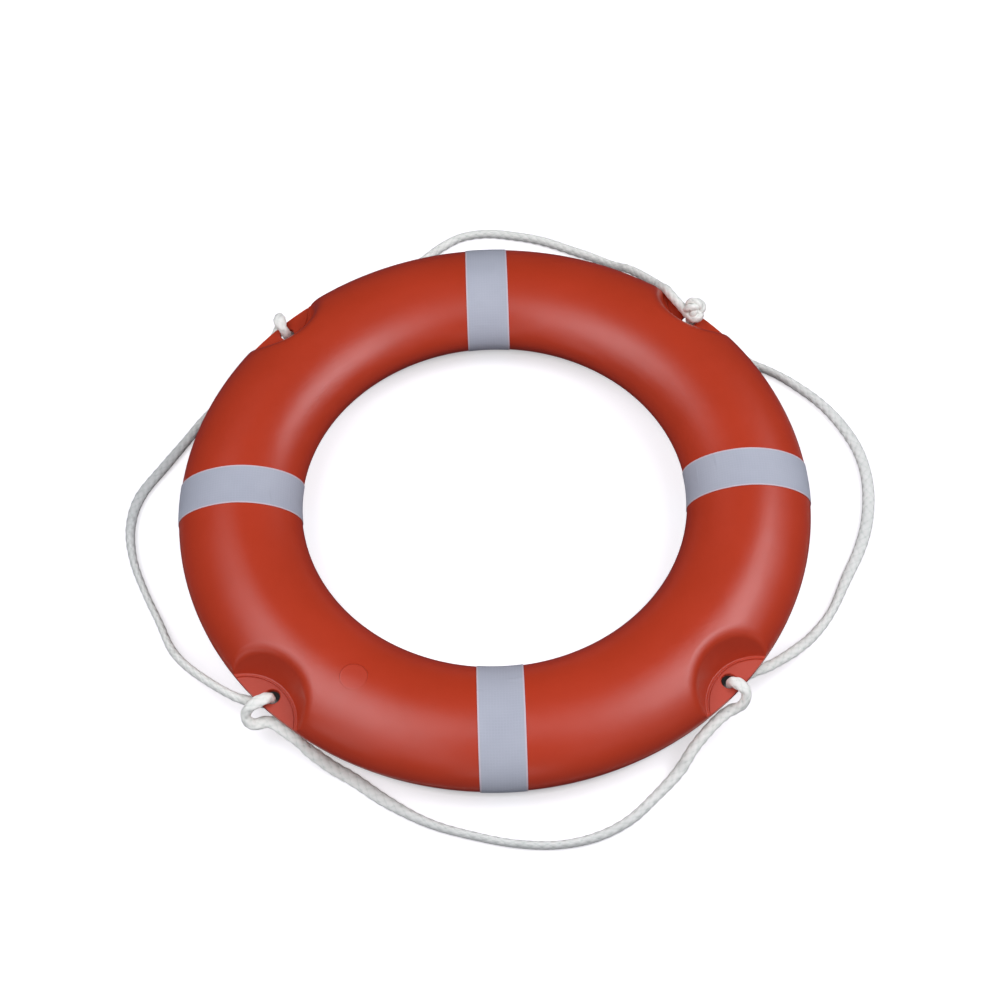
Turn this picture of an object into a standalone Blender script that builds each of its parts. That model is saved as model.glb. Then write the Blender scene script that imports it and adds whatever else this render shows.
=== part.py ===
# Life ring: a moulded shell filled with foam, four reflective bands and a grab line
# that is hitched through four lugs. Metres, +Z up, lying flat on z = 0, front towards -Y.
# The centre of the ring is the origin seen from above.

import math

import bmesh
import bpy
from mathutils import Matrix, Vector

# Ring
OUTER_RADIUS = 0.360
HOLE_RADIUS = 0.220
SECTION_HEIGHT = 0.094
SECTION_POWER = 1.85
WALL = 0.003
CLEARANCE = 0.0003
RING_STEPS = 48
SECTION_STEPS = 18

# Lugs: at each of four places a pocket above and one below leave the two walls of the
# shell pressed together as one thin flange, with the hole for the line in it.
LUG_COUNT = 4
FIRST_LUG_ANGLE = math.radians(45)
POCKET_AXIS_OUTSIDE = 0.030
POCKET_RADIUS = 0.0592
POCKET_DRAFT = math.radians(22)
POCKET_STEPS = 12
POCKET_FOOT_ROUND = 0.004
POCKET_RIM_REACH = 0.011
POCKET_RIM_FALL = 0.009
POCKET_ROUND_STEPS = 4
LEDGE_WIDTH = 0.003
LEDGE_RISE = 0.0008
FOAM_EASE = 0.0003
LINE_HOLE_RADIUS = 0.0085
LINE_HOLE_FROM_RIM = 0.014
LINE_HOLE_CHAMFER = 0.0008
LINE_HOLE_STEPS = 16

# Plug in the hole that the foam was poured through, on the upper face
PLUG_ANGLE = math.radians(-122)
PLUG_RADIUS = 0.0148
PLUG_THICKNESS = 0.0012
PLUG_BELOW_CROWN = 0.0006
PLUG_DISH = 0.0004
PLUG_STEM_RADIUS = 0.0115
PLUG_STEPS = 28

# Reflective bands, each glued round the whole section
BAND_WIDTH = 0.050
BAND_THICKNESS = 0.0005

# Grab line
ROPE_RADIUS = 0.0055
ROPE_ABOVE_FLOOR = 0.0002
ROPE_SIDES = 8
LOOP_POINTS = 21
HITCH_POINTS = 26
END_RUN = 0.003
KNOT_RADIUS = 0.0142
KNOT_HEIGHT = 0.68
KNOT_STRAND_RADIUS = 0.0045
KNOT_GRAIN = 0.0027

# Sizes that follow from those above
MIDDLE_RADIUS = (OUTER_RADIUS + HOLE_RADIUS) / 2
HALF_WIDTH = (OUTER_RADIUS - HOLE_RADIUS) / 2
FLANGE_HALF = WALL
BAND_OUTSET = CLEARANCE + BAND_THICKNESS
MID_Z = SECTION_HEIGHT / 2 + BAND_OUTSET
POCKET_AXIS = OUTER_RADIUS + POCKET_AXIS_OUTSIDE
LINE_HOLE_AT = OUTER_RADIUS - LINE_HOLE_FROM_RIM
ABOVE_ALL = SECTION_HEIGHT / 2 + 0.010
RIM_OVERSHOOT = 0.0005

for old in list(bpy.data.objects):
    bpy.data.objects.remove(old, do_unlink=True)


def material(name, colour, roughness, metallic=0.0):
    """A plain surface of one colour, given as sRGB values from 0 to 255."""
    made = bpy.data.materials.new(name)
    made.use_nodes = True
    shader = made.node_tree.nodes["Principled BSDF"]
    linear = [((c / 255 + 0.055) / 1.055) ** 2.4 for c in colour]
    shader.inputs["Base Color"].default_value = (*linear, 1.0)
    shader.inputs["Roughness"].default_value = roughness
    shader.inputs["Metallic"].default_value = metallic
    made.diffuse_color = (*linear, 1.0)
    return made


ORANGE = material("orange_polyethylene", (190, 70, 50), 0.42)
ORANGE_PLUG = material("orange_plug", (186, 66, 48), 0.45)
FOAM = material("cream_foam", (226, 209, 160), 0.9)
TAPE = material("silver_reflective_tape", (179, 182, 198), 0.35, 0.3)
ROPE = material("white_rope", (236, 236, 234), 0.85)

ring = bpy.data.objects.new("life_ring", None)
bpy.context.scene.collection.objects.link(ring)


def add(name, data, surface=None, parent=ring):
    """An object of the part, held by the ring's empty."""
    made = bpy.data.objects.new(name, data)
    bpy.context.scene.collection.objects.link(made)
    made.parent = parent
    if surface is not None:
        data.materials.clear()
        data.materials.append(surface)
    return made


def add_cutter(name, data):
    """A helper that only cuts or joins other objects, drawn as wire and never rendered."""
    made = add(name, data)
    made.hide_render = True
    made.display_type = "WIRE"
    return made


def combine(target, other, operation):
    """Cuts, joins or intersects the target with the other object."""
    modifier = target.modifiers.new(other.name, "BOOLEAN")
    modifier.operation = operation
    modifier.solver = "EXACT"
    modifier.object = other


def finish_mesh(bm, name):
    """Turns the faces out and hands the mesh over, shaded smooth but for sharp edges."""
    bmesh.ops.remove_doubles(bm, verts=bm.verts, dist=1e-6)
    bmesh.ops.recalc_face_normals(bm, faces=bm.faces)
    if bm.calc_volume(signed=True) < 0:
        bmesh.ops.reverse_faces(bm, faces=bm.faces)
    mesh = bpy.data.meshes.new(name)
    bm.to_mesh(mesh)
    bm.free()
    mesh.shade_smooth()
    mesh.set_sharp_from_angle(angle=math.radians(40))
    return mesh


# The ring's section


def power(value):
    """A sine or cosine bent to the section's fullness, keeping its sign."""
    return math.copysign(abs(value) ** (2 / SECTION_POWER), value)


def section(inset=0.0):
    """Outline of the section as (radius, height over the mid-plane), moved in by inset.

    It has a point at its outermost and innermost place, and a flat at its crown and base."""
    to_crown = (SECTION_STEPS - 2) // 4
    flat_height = power(math.sin(math.tau * to_crown / SECTION_STEPS))
    half_height = SECTION_HEIGHT / 2 / flat_height
    corners = []
    for k in range(SECTION_STEPS):
        turn = math.tau * k / SECTION_STEPS
        out = MIDDLE_RADIUS + HALF_WIDTH * power(math.cos(turn))
        corners.append(Vector((out, half_height * power(math.sin(turn)))))
    moved = []
    for k, corner in enumerate(corners):
        before = (corner - corners[k - 1]).normalized()
        after = (corners[(k + 1) % SECTION_STEPS] - corner).normalized()
        inward = Vector((-before.y - after.y, before.x + after.x)).normalized()
        stretch = 1 / math.sqrt((1 + before.dot(after)) / 2)
        moved.append(corner + inward * inset * stretch)
    return moved


def surface_height(radius, inset=0.0):
    """Height of the ring's upper surface over the mid-plane, this far from the ring's axis."""
    upper = sorted((p.x, p.y) for p in section(inset) if p.y > -1e-9)
    if not upper[0][0] < radius < upper[-1][0]:
        return 0.0
    for (r0, h0), (r1, h1) in zip(upper, upper[1:]):
        if r0 <= radius <= r1:
            return h0 + (h1 - h0) * (radius - r0) / (r1 - r0)
    return 0.0


def ring_mesh(name, inset, columns=RING_STEPS, first=0):
    """The section turned about the ring's axis, all the way or over some columns."""
    bm = bmesh.new()
    turned = columns < RING_STEPS
    start = Matrix.Rotation(math.tau * first / RING_STEPS, 3, "Z")
    points = [start @ Vector((p.x, 0, MID_Z + p.y)) for p in section(inset)]
    verts = [bm.verts.new(p) for p in points]
    edges = [bm.edges.new((verts[k - 1], verts[k])) for k in range(len(verts))]
    geom = [bm.faces.new(verts)] if turned else verts + edges
    angle = math.tau * columns / RING_STEPS
    bmesh.ops.spin(
        bm,
        geom=geom,
        cent=(0, 0, 0),
        axis=(0, 0, 1),
        angle=angle,
        steps=columns,
        use_merge=not turned,
    )
    return finish_mesh(bm, name)


# The pockets over and under each lug


def wall_distance(height, inset=0.0):
    """How far a pocket's wall is from the pocket's axis at this height over the mid-plane."""
    slope = math.tan(POCKET_DRAFT)
    return POCKET_RADIUS + slope * (height - FLANGE_HALF) + inset / math.cos(POCKET_DRAFT)


def height_along(distance, turn, inset):
    """Height of the ring's surface at a distance from a pocket's axis, in one direction."""
    u = POCKET_AXIS - distance * math.cos(turn)
    v = distance * math.sin(turn)
    return surface_height(math.hypot(u, v), inset)


def rounded(before, corner, after, radius, steps):
    """Points of the arc that rounds a corner between two directions, ends included."""
    to_before = (before - corner).normalized()
    to_after = (after - corner).normalized()
    half = to_before.angle(to_after) / 2
    centre = corner + (to_before + to_after).normalized() * radius / math.sin(half)
    start = corner + to_before * radius / math.tan(half) - centre
    end = corner + to_after * radius / math.tan(half) - centre
    sweep = start.angle_signed(end)
    points = []
    for k in range(steps + 1):
        turn = -sweep * k / steps
        cos, sin = math.cos(turn), math.sin(turn)
        points.append(centre + Vector((cos * start.x - sin * start.y, sin * start.x + cos * start.y)))
    return points


def pocket_column(turn, inset, foot):
    """One column of a pocket's wall as (distance from its axis, height), from foot to top.

    The wall meets the ring's surface in a wide rounding, which starts some way down the wall
    and runs out on the surface in its own direction."""
    low, high = foot, ABOVE_ALL
    for _ in range(40):
        middle = (low + high) / 2
        if height_along(wall_distance(middle, inset), turn, inset - RIM_OVERSHOOT) > middle:
            low = middle
        else:
            high = middle
    bottom = Vector((wall_distance(foot, inset), foot))
    upwards = Vector((math.sin(POCKET_DRAFT), math.cos(POCKET_DRAFT)))
    wall_length = (low - foot) / upwards.y
    beyond = wall_distance(low, inset) + POCKET_RIM_REACH
    outer = Vector((beyond, height_along(beyond, turn, inset - RIM_OVERSHOOT)))
    before = height_along(beyond - 0.001, turn, inset - RIM_OVERSHOOT)
    along = Vector((0.001, max(outer.y - before, 0.0))).normalized()
    first = max(wall_length - POCKET_RIM_FALL, 0.6 * POCKET_FOOT_ROUND)
    offset = outer - bottom
    meeting = (offset.x * along.y - offset.y * along.x) / (upwards.x * along.y - upwards.y * along.x)
    meeting = min(max(meeting, first + 0.0005), wall_length + 0.003)
    start = bottom + upwards * first
    corner = bottom + upwards * max(meeting, first + 0.0005)
    outer.y = max(outer.y, corner.y + 0.0002)
    rim = []
    for k in range(POCKET_ROUND_STEPS + 1):
        share = k / POCKET_ROUND_STEPS
        rim.append(start.lerp(corner, share).lerp(corner.lerp(outer, share), share))
    return rim + [Vector((outer.x, ABOVE_ALL))]


def pocket_mesh(name, inset, side):
    """The four pockets of one side as solids, or both sides grown into one at the waist.

    Side is 1 above the mid-plane, -1 below it and 0 for both."""
    foot = 0.0 if side == 0 else FLANGE_HALF + LEDGE_RISE
    reach = wall_distance(foot, inset)
    deeper = WALL if side == 0 else 0.0
    rim = OUTER_RADIUS - deeper
    widest = wall_distance(foot, deeper) + POCKET_RIM_REACH
    cosine = (POCKET_AXIS**2 + widest**2 - rim**2) / (2 * POCKET_AXIS * widest)
    last = 0.985 * math.acos(cosine)
    turns = [last * (2 * k / POCKET_STEPS - 1) for k in range(POCKET_STEPS + 1)]
    columns = [pocket_column(turn, inset, foot) for turn in turns]
    far = 5
    for k in range(1, far):
        turns.append(last + (math.tau - 2 * last) * k / far)
        columns.append(columns[-1] if k * 2 < far else columns[0])
    rows = []
    for turn, column in zip(turns, columns):
        if side == 0:
            waist = [Vector((reach, 0))]
            lower = [Vector((p.x, -p.y)) for p in reversed(column)]
            row = lower + waist + column
        else:
            bottom = Vector((reach, foot))
            inner = Vector((reach - POCKET_FOOT_ROUND, foot))
            cove = rounded(inner, bottom, column[0], 0.8 * POCKET_FOOT_ROUND, 2)
            step = cove[0].x - LEDGE_WIDTH
            row = [Vector((step, FLANGE_HALF)), Vector((step + 0.3 * LEDGE_RISE, foot))] + cove + column
        rows.append([(turn, p.x, p.y) for p in row])
    bm = bmesh.new()
    for lug in range(LUG_COUNT):
        angle = FIRST_LUG_ANGLE + math.tau * lug / LUG_COUNT
        grid = []
        for row in rows:
            made = []
            for turn, distance, height in row:
                u = POCKET_AXIS - distance * math.cos(turn)
                v = distance * math.sin(turn)
                x = u * math.cos(angle) - v * math.sin(angle)
                y = u * math.sin(angle) + v * math.cos(angle)
                made.append(bm.verts.new((x, y, MID_Z + (side or 1) * height)))
            grid.append(made)
        for a, b in zip(grid, grid[1:] + grid[:1]):
            for k in range(len(a) - 1):
                bm.faces.new((a[k], a[k + 1], b[k + 1], b[k]))
        bm.faces.new([row[0] for row in grid])
        bm.faces.new([row[-1] for row in reversed(grid)])
    return finish_mesh(bm, name)


def turned_mesh(name, profile, steps):
    """A profile of (radius, height), both ends on the axis, turned about +Z."""
    bm = bmesh.new()
    verts = [bm.verts.new((r, 0, z)) for r, z in profile]
    edges = [bm.edges.new(pair) for pair in zip(verts, verts[1:])]
    bmesh.ops.spin(
        bm,
        geom=verts + edges,
        cent=(0, 0, 0),
        axis=(0, 0, 1),
        angle=math.tau,
        steps=steps,
        use_merge=True,
    )
    return finish_mesh(bm, name)


# Shell

shell = add("shell", ring_mesh("shell", 0.0), ORANGE)
combine(shell, add_cutter("upper_pockets", pocket_mesh("upper_pockets", 0.0, 1)), "DIFFERENCE")
combine(shell, add_cutter("lower_pockets", pocket_mesh("lower_pockets", 0.0, -1)), "DIFFERENCE")

hollow = add_cutter("hollow", ring_mesh("hollow", WALL))
inner_pockets = add_cutter("inner_pockets", pocket_mesh("inner_pockets", WALL, 0))
combine(hollow, inner_pockets, "DIFFERENCE")
combine(shell, hollow, "DIFFERENCE")

hole_flare = 2 * LINE_HOLE_CHAMFER
hole_profile = [
    (0, -FLANGE_HALF - LINE_HOLE_CHAMFER),
    (LINE_HOLE_RADIUS + hole_flare, -FLANGE_HALF - LINE_HOLE_CHAMFER),
    (LINE_HOLE_RADIUS, LINE_HOLE_CHAMFER - FLANGE_HALF),
    (LINE_HOLE_RADIUS, FLANGE_HALF - LINE_HOLE_CHAMFER),
    (LINE_HOLE_RADIUS + hole_flare, FLANGE_HALF + LINE_HOLE_CHAMFER),
    (0, FLANGE_HALF + LINE_HOLE_CHAMFER),
]
hole_data = turned_mesh("line_hole", hole_profile, LINE_HOLE_STEPS)
for lug in range(LUG_COUNT):
    angle = FIRST_LUG_ANGLE + math.tau * lug / LUG_COUNT
    line_hole = add_cutter(f"line_hole_{lug}", hole_data)
    line_hole.location = (LINE_HOLE_AT * math.cos(angle), LINE_HOLE_AT * math.sin(angle), MID_Z)
    line_hole.rotation_euler.z = angle
    combine(shell, line_hole, "DIFFERENCE")

# The plug's seat: a shallow step round the hole through the wall
plug_top = SECTION_HEIGHT / 2 - PLUG_BELOW_CROWN
plug_seat = plug_top - PLUG_THICKNESS
plug_place = Vector((math.cos(PLUG_ANGLE), math.sin(PLUG_ANGLE), 0)) * MIDDLE_RADIUS
plug_place.z = MID_Z
stem_end = SECTION_HEIGHT / 2 - WALL
seat_profile = [
    (0, stem_end - WALL),
    (PLUG_STEM_RADIUS + CLEARANCE, stem_end - WALL),
    (PLUG_STEM_RADIUS + CLEARANCE, plug_seat - CLEARANCE),
    (PLUG_RADIUS + CLEARANCE, plug_seat - CLEARANCE),
    (PLUG_RADIUS + CLEARANCE, ABOVE_ALL),
    (0, ABOVE_ALL),
]
plug_hole = add_cutter("plug_hole", turned_mesh("plug_hole", seat_profile, PLUG_STEPS))
plug_hole.location = plug_place
combine(shell, plug_hole, "DIFFERENCE")

# Foam core and plug

core_inset = WALL + CLEARANCE
core = add("foam_core", ring_mesh("foam_core", core_inset), FOAM)
core_pockets = add_cutter("core_pockets", pocket_mesh("core_pockets", core_inset + FOAM_EASE, 0))
combine(core, core_pockets, "DIFFERENCE")

plug_profile = [
    (0, stem_end),
    (PLUG_STEM_RADIUS, stem_end),
    (PLUG_STEM_RADIUS, plug_seat),
    (PLUG_RADIUS, plug_seat),
    (PLUG_RADIUS, plug_top - PLUG_DISH),
    (PLUG_RADIUS - PLUG_DISH, plug_top),
    (PLUG_RADIUS - 5 * PLUG_DISH, plug_top - PLUG_DISH),
    (0, plug_top - PLUG_DISH),
]
plug = add("foam_fill_plug", turned_mesh("foam_fill_plug", plug_profile, PLUG_STEPS), ORANGE_PLUG)
plug.location = plug_place

# Reflective bands: one sleeve of tape, cut from a few columns of the ring between two
# straight edges, then used four times

band_reach = math.asin(BAND_WIDTH / 2 / HOLE_RADIUS)
band_columns = 2 * math.ceil(band_reach / math.tau * RING_STEPS + 0.2)
band_blank = add_cutter(
    "band_blank", ring_mesh("band_blank", -BAND_OUTSET, band_columns, -band_columns // 2)
)
band_core = add_cutter(
    "band_core", ring_mesh("band_core", -CLEARANCE, band_columns + 2, -band_columns // 2 - 1)
)
bm = bmesh.new()
bmesh.ops.create_cube(bm, size=1.0)
bmesh.ops.scale(bm, verts=bm.verts, vec=(OUTER_RADIUS, BAND_WIDTH, 4 * SECTION_HEIGHT))
bmesh.ops.translate(bm, verts=bm.verts, vec=(MIDDLE_RADIUS, 0, MID_Z))
band_slab = add_cutter("band_slab", finish_mesh(bm, "band_slab"))
combine(band_blank, band_slab, "INTERSECT")
combine(band_blank, band_core, "DIFFERENCE")
bpy.context.view_layer.update()
graph = bpy.context.evaluated_depsgraph_get()
band_data = bpy.data.meshes.new_from_object(band_blank.evaluated_get(graph))
band_data.name = "reflective_band"
band_data.materials.clear()
band_data.materials.append(TAPE)
for k, place in enumerate(("right", "back", "left", "front")):
    band = add(f"reflective_band_{place}", band_data)
    band.rotation_euler.z = math.tau * k / 4

# Grab line
#
# One rope runs round the whole ring. At three lugs it comes from under the flange up
# through the hole, turns over the flange's edge and goes on past itself. At the fourth
# its two ends are tied in an overhand knot. Its route is a smooth curve through chosen
# points, and each free loop, each hitch and the knot is a stretch of that one curve.

# Loops, one point per line: angle round the ring in degrees, distance outside the rim in
# millimetres, and rise from the floor (0) to the level of the hitches (1).
LOOP_RIGHT = (
    (38.0, 9, 0.75),
    (35.3, 15, 0.38),
    (32.6, 24, 0.08),
    (28.6, 38.5, 0),
    (23.8, 53.5, 0),
    (19.1, 66.5, 0),
    (14.1, 76, 0),
    (9.1, 81, 0),
    (3.5, 79.5, 0),
    (-2.9, 71.5, 0),
    (-8.3, 61, 0),
    (-13.9, 48.5, 0),
    (-20.7, 39.5, 0.03),
    (-25.9, 29.5, 0.2),
    (-30.9, 19.5, 0.52),
    (-35.2, 8.5, 0.75),
)
LOOP_FRONT = (
    (-56.5, 9.5, 0.68),
    (-60.0, 17.5, 0.32),
    (-65.6, 29, 0.05),
    (-71.0, 42.5, 0),
    (-76.5, 49.5, 0),
    (-82.0, 49.5, 0),
    (-88.0, 43.5, 0),
    (-94.0, 35, 0),
    (-102.1, 25, 0),
    (-109.5, 12, 0),
    (-117.1, 0.5, 0.07),
    (-121.2, 0.5, 0.3),
    (-125.0, 1, 0.58),
)
LOOP_LEFT = (
    (-150.5, 32, 0.62),
    (-155.5, 39, 0.34),
    (-162.0, 42, 0.08),
    (-168.0, 50, 0),
    (-174.4, 60, 0),
    (179.5, 64.5, 0),
    (174.0, 59.5, 0),
    (167.1, 39.5, 0),
    (160.7, 25.5, 0),
    (156.7, 20, 0),
    (152.3, 13, 0.1),
    (147.5, 9, 0.4),
)
LOOP_BACK = (
    (121.0, 9, 0.55),
    (117.0, 12, 0.22),
    (112.0, 16, 0.02),
    (107.0, 23, 0),
    (103.0, 33, 0),
    (100.2, 45, 0),
    (97.3, 58, 0),
    (94.1, 68.5, 0),
    (89.5, 72, 0),
    (84.5, 67.5, 0),
    (79.9, 62.5, 0),
    (74.2, 53.5, 0),
    (68.2, 46.5, 0.12),
    (61.7, 34, 0.6),
)

# Hitches, in millimetres: distance outside the lug hole's centre, sideways (positive
# against the clock seen from above), and height over the mid-plane. Each list runs the
# way the rope goes round the ring with the clock: right, front, left, back.
HITCH_FRONT_RIGHT = (
    (14, 47, -15),
    (9, 36, -13.5),
    (4.5, 22, -12.5),
    (2.5, 8, -11),
    (2.4, 1, -5),
    (2.5, 0, 0),
    (2.6, 0, 3.2),
    (4.1, 0.2, 7.4),
    (8.7, 0.5, 9.6),
    (14.5, 1.4, 10),
    (20.3, 1.4, 8.2),
    (24.7, -1, 3),
    (26.2, -5, -3),
    (25.3, -10, -8.5),
    (21.8, -14, -12.5),
    (18, -20, -15),
    (16, -31, -17),
    (15.3, -44, -18),
)
HITCH_FRONT_LEFT = (
    (11.5, 45, -15.5),
    (14, 30, -13.5),
    (16.5, 16, -13),
    (21.5, 8.5, -14),
    (28.5, 5, -14.5),
    (34.2, 0.5, -11),
    (34.2, -6, -6),
    (30.8, -8, 0),
    (26, -7, 5.8),
    (20.5, -5, 9),
    (14.5, -3, 9.9),
    (8.6, -1, 9.5),
    (4.1, 0, 7.4),
    (2.6, 0, 3.2),
    (2.5, 0, -1),
    (3.2, -1.5, -5.5),
    (5.5, -5, -10),
    (11, -13, -12),
    (19, -26, -12.5),
    (24, -40, -14.5),
)
HITCH_BACK_LEFT = (
    (20, 46, -20.5),
    (17.5, 32, -19),
    (17, 17, -18.5),
    (20, 3, -16),
    (24, -7, -11),
    (25.8, -11, -3),
    (23.8, -9.5, 6),
    (19.7, -6, 12),
    (14.5, -2.5, 13.5),
    (9.3, 0.5, 11.2),
    (4.8, 0.8, 8),
    (2.8, 0.3, 4),
    (2.5, 0, -1),
    (3, -2, -6),
    (6, -9, -11),
    (12, -22, -13),
    (17, -38, -15.5),
)
# The knot's two ends: the rope from the back loop comes in over the rim, and the rope
# to the right loop leaves down through the hole.
KNOT_ARRIVAL = (
    (26, 74, -12),
    (19.5, 62.5, -2),
    (15.5, 50, 6.5),
    (10.5, 38.5, 10),
    (7.8, 29.5, 10.6),
    (5, 18, 11),
    (1.2, 7.5, 12),
    (-1.5, -1, 13),
    (-1.8, -7, 13.7),
    (1.5, -11.5, 14.5),
    (7.5, -10, 16),
)
KNOT_DEPARTURE = (
    (3, 0, 8),
    (2.5, 0, 3),
    (2.5, 0, -2),
    (3.2, -1.5, -6.5),
    (6.5, -8, -11.5),
    (11, -16, -13.5),
    (15, -26, -16),
)
KNOT_CENTRE = (8.5, -0.5, 18)
KNOT_TILT = (math.radians(58), math.radians(-12), math.radians(35))

MM = 0.001


def lug_point(lug, out, side, height):
    """A point given near a lug's hole, in millimetres, as a place in the part's frame."""
    angle = FIRST_LUG_ANGLE + math.tau * lug / LUG_COUNT
    u = LINE_HOLE_AT + out * MM
    v = side * MM
    x = u * math.cos(angle) - v * math.sin(angle)
    y = u * math.sin(angle) + v * math.cos(angle)
    return Vector((x, y, MID_Z + height * MM))


def loop_point(degrees, out, rise):
    """A point of a free loop as a place in the part's frame."""
    angle = math.radians(degrees)
    radius = OUTER_RADIUS + out * MM
    low = ROPE_RADIUS + ROPE_ABOVE_FLOOR
    high = MID_Z - FLANGE_HALF - 2 * ROPE_RADIUS
    return Vector((radius * math.cos(angle), radius * math.sin(angle), low + rise * (high - low)))


def smooth_curve(points, parts=16):
    """A centripetal Catmull-Rom curve through all the points, finely divided."""
    first = points[0] * 2 - points[1]
    last = points[-1] * 2 - points[-2]
    padded = [first, *points, last]
    dense = []
    for p0, p1, p2, p3 in zip(padded, padded[1:], padded[2:], padded[3:]):
        t1 = math.sqrt((p1 - p0).length)
        t2 = t1 + math.sqrt((p2 - p1).length)
        t3 = t2 + math.sqrt((p3 - p2).length)
        for k in range(parts):
            t = t1 + (t2 - t1) * k / parts
            a1 = p0.lerp(p1, t / t1)
            a2 = p1.lerp(p2, (t - t1) / (t2 - t1))
            a3 = p2.lerp(p3, (t - t2) / (t3 - t2))
            b1 = a1.lerp(a2, t / t2)
            b2 = a2.lerp(a3, (t - t1) / (t3 - t1))
            dense.append(b1.lerp(b2, (t - t1) / (t2 - t1)))
    dense.append(points[-1].copy())
    return dense


def lengths_along(dense):
    """Length of the curve up to each of its points."""
    sums = [0.0]
    for a, b in zip(dense, dense[1:]):
        sums.append(sums[-1] + (b - a).length)
    return sums


def at_length(dense, sums, length):
    """The curve's place and direction at a length along it."""
    k = 0
    while k < len(sums) - 2 and sums[k + 1] < length:
        k += 1
    share = (length - sums[k]) / (sums[k + 1] - sums[k])
    return dense[k].lerp(dense[k + 1], share), (dense[k + 1] - dense[k]).normalized()


def stretch(dense, sums, begin, end, count):
    """Points of one node's stretch: evenly spaced, with a short straight run at each end
    that faces the neighbouring stretch squarely across the clearance."""
    begin += CLEARANCE / 2
    end -= CLEARANCE / 2
    start, along_start = at_length(dense, sums, begin)
    stop, along_stop = at_length(dense, sums, end)
    points = [start, start + along_start * END_RUN]
    for k in range(1, count + 1):
        length = begin + (end - begin) * k / (count + 1)
        if 2 * END_RUN < length - begin and 2 * END_RUN < end - length:
            points.append(at_length(dense, sums, length)[0])
    return points + [stop - along_stop * END_RUN, stop]


def add_rope(name, points):
    """A round tube along the points, with flat filled ends."""
    curve = bpy.data.curves.new(name, "CURVE")
    curve.dimensions = "3D"
    curve.bevel_depth = ROPE_RADIUS
    curve.bevel_resolution = (ROPE_SIDES - 4) // 2
    curve.use_fill_caps = True
    spline = curve.splines.new("POLY")
    spline.points.add(len(points) - 1)
    for point, place in zip(spline.points, points):
        point.co = (*place, 1.0)
    spline.use_smooth = True
    return add(name, curve, ROPE)


def knot_path():
    """The double overhand knot's closed middle line, in its own frame, 1 unit to its outermost point."""
    count = 120
    path = []
    for k in range(count + 1):
        t = math.tau * k / count
        out = 0.56 + 0.44 * math.cos(5 * t)
        path.append(Vector((out * math.cos(2 * t), out * math.sin(2 * t), -KNOT_HEIGHT * math.sin(5 * t))))
    return path


def tube_into(bm, points, radius, sides):
    """A round tube with flat ends, its sides carried along the points without twist."""
    directions = []
    for k in range(len(points)):
        ahead = points[min(k + 1, len(points) - 1)]
        behind = points[max(k - 1, 0)]
        directions.append((ahead - behind).normalized())
    normal = directions[0].orthogonal().normalized()
    rings = []
    for place, direction in zip(points, directions):
        normal = (normal - direction * normal.dot(direction)).normalized()
        other = direction.cross(normal)
        made = []
        for k in range(sides):
            turn = math.tau * k / sides
            made.append(bm.verts.new(place + (normal * math.cos(turn) + other * math.sin(turn)) * radius))
        rings.append(made)
    for a, b in zip(rings, rings[1:]):
        for k in range(sides):
            bm.faces.new((a[k - 1], a[k], b[k], b[k - 1]))
    bm.faces.new(list(reversed(rings[0])))
    bm.faces.new(rings[-1])


def tube_mesh(name, points, radius, sides):
    bm = bmesh.new()
    tube_into(bm, points, radius, sides)
    return finish_mesh(bm, name)


BACK_RIGHT, BACK_LEFT, FRONT_LEFT, FRONT_RIGHT = range(LUG_COUNT)
pieces = (
    ("departure", [lug_point(BACK_RIGHT, *p) for p in KNOT_DEPARTURE]),
    ("grab_line_loop_right", [loop_point(*p) for p in LOOP_RIGHT]),
    ("grab_line_hitch_front_right", [lug_point(FRONT_RIGHT, *p) for p in HITCH_FRONT_RIGHT]),
    ("grab_line_loop_front", [loop_point(*p) for p in LOOP_FRONT]),
    ("grab_line_hitch_front_left", [lug_point(FRONT_LEFT, *p) for p in HITCH_FRONT_LEFT]),
    ("grab_line_loop_left", [loop_point(*p) for p in LOOP_LEFT]),
    ("grab_line_hitch_back_left", [lug_point(BACK_LEFT, *p) for p in HITCH_BACK_LEFT]),
    ("grab_line_loop_back", [loop_point(*p) for p in LOOP_BACK]),
    ("arrival", [lug_point(BACK_RIGHT, *p) for p in KNOT_ARRIVAL]),
)
PARTS_PER_SPAN = 16
line_points = [p for _, points in pieces for p in points]
line = smooth_curve(line_points, PARTS_PER_SPAN)
line_sums = lengths_along(line)

# A hitch ends at the first and last of its own points, and a loop fills the way between.
cuts = []
index = 0
for name, points in pieces:
    if "loop" not in name:
        cuts.append(line_sums[min(index * PARTS_PER_SPAN, len(line) - 1)])
        cuts.append(line_sums[min((index + len(points) - 1) * PARTS_PER_SPAN, len(line) - 1)])
    index += len(points)
order = [name for name, _ in pieces]
knot_leaves = cuts[1]
knot_meets = cuts[-2]
for k, name in enumerate(order[1:-1], start=1):
    if "loop" in name:
        count = LOOP_POINTS
    else:
        count = HITCH_POINTS
    add_rope(name, stretch(line, line_sums, cuts[k], cuts[k + 1], count))
    print(f"{name}: {1000 * (cuts[k + 1] - cuts[k]):.0f} mm of rope")


def knot_end(cut, end, count):
    """Points of a knot's end from its cut to the knot's middle, straight where it is cut."""
    towards = math.copysign(1, end - cut)
    place, along = at_length(line, line_sums, cut + towards * CLEARANCE / 2)
    points = [place, place + along * towards * END_RUN]
    for k in range(1, count + 1):
        length = cut + (end - cut) * k / count
        if abs(length - cut) > 2 * END_RUN:
            points.append(at_length(line, line_sums, length)[0])
    return points + [points[-1].lerp(knot_centre, 0.5)]


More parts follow.
